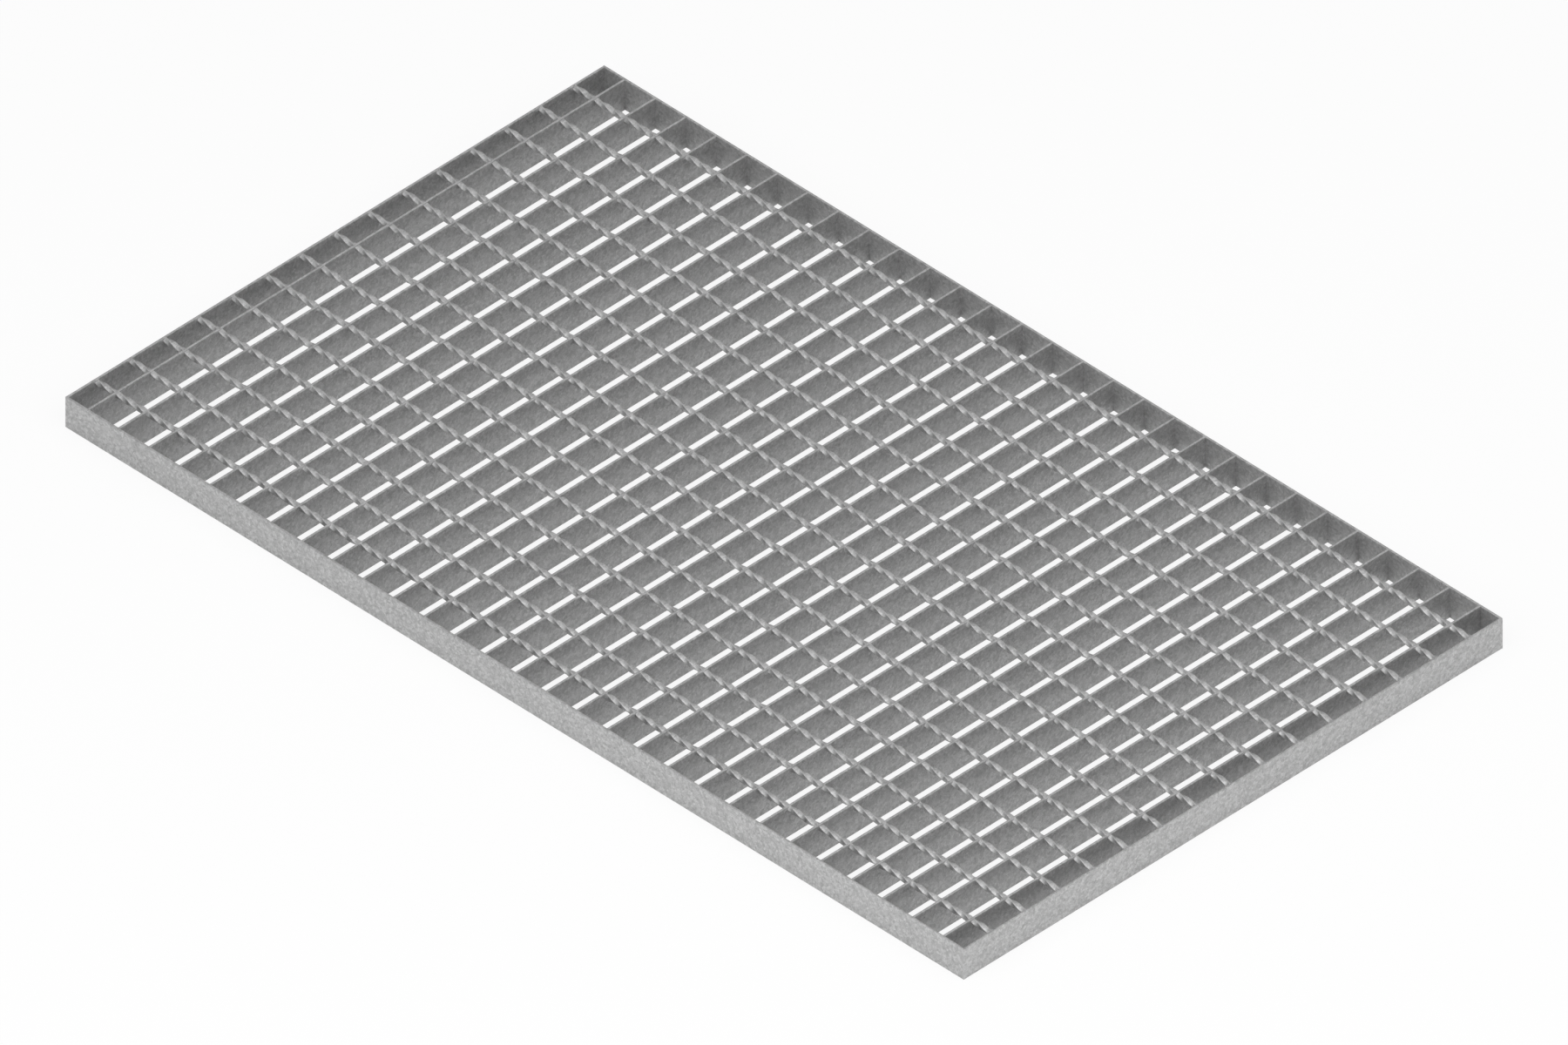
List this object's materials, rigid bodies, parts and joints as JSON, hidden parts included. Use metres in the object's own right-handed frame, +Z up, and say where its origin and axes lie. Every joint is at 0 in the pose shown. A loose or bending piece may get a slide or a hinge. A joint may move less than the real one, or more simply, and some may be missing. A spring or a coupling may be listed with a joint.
{
  "type": "steel grating panel",
  "caption": "Rectangular walkway grating panel: flat bearing bars on edge, twisted square cross rods forged in flush, and flat bars closing its edges.",
  "frame": {"origin": "centre of the panel's underside, on the plane it rests on", "axes": "+X along the panel's length and its twisted rods, +Y along its width and its bearing bars, +Z up through its thickness to the walking surface"},
  "size_m": [1, 0.6, 0.03],
  "materials": {
    "galvanised_steel": "hot-dip galvanised, dull grey zinc with soft mottling"
  },
  "bodies": {
    "root": {"grid_bay_1": "galvanised_steel", "grid_bay_2": "galvanised_steel", "grid_bay_3": "galvanised_steel", "grid_bay_4": "galvanised_steel", "front_edge_bar": "galvanised_steel", "back_edge_bar": "galvanised_steel", "left_edge_bar": "galvanised_steel", "right_edge_bar": "galvanised_steel"}
  },
  "joints": []
}
